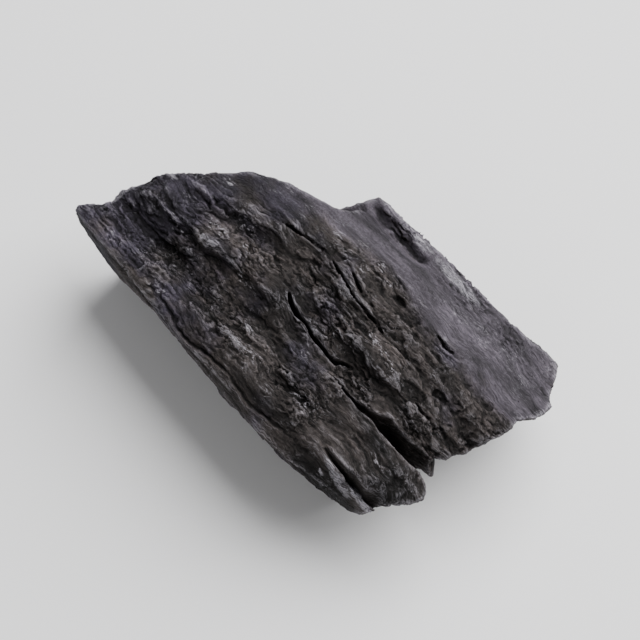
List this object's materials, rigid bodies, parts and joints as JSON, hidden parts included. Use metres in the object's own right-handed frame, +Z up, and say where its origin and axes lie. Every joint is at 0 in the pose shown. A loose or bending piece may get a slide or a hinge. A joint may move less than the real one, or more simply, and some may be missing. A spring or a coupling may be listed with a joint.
{
  "type": "charcoal lump",
  "caption": "Split lump of hardwood charcoal with a flaked and cracked face, a smoother shoulder and a torn end with a deep cleft, lying on its flat side.",
  "frame": {"origin": "middle of the lump's base, on the surface that it lies on", "axes": "+X along the wood grain, from the slanting break to the torn end; +Y from the straight front edge to the raised rim; +Z up, out of the weathered face"},
  "size_m": [0.1367, 0.0835, 0.0417],
  "materials": {
    "charcoal": "charred hardwood, matt near-black with a grey graphite sheen along the fibres"
  },
  "bodies": {
    "root": {"charcoal_lump": "charcoal"}
  },
  "joints": []
}
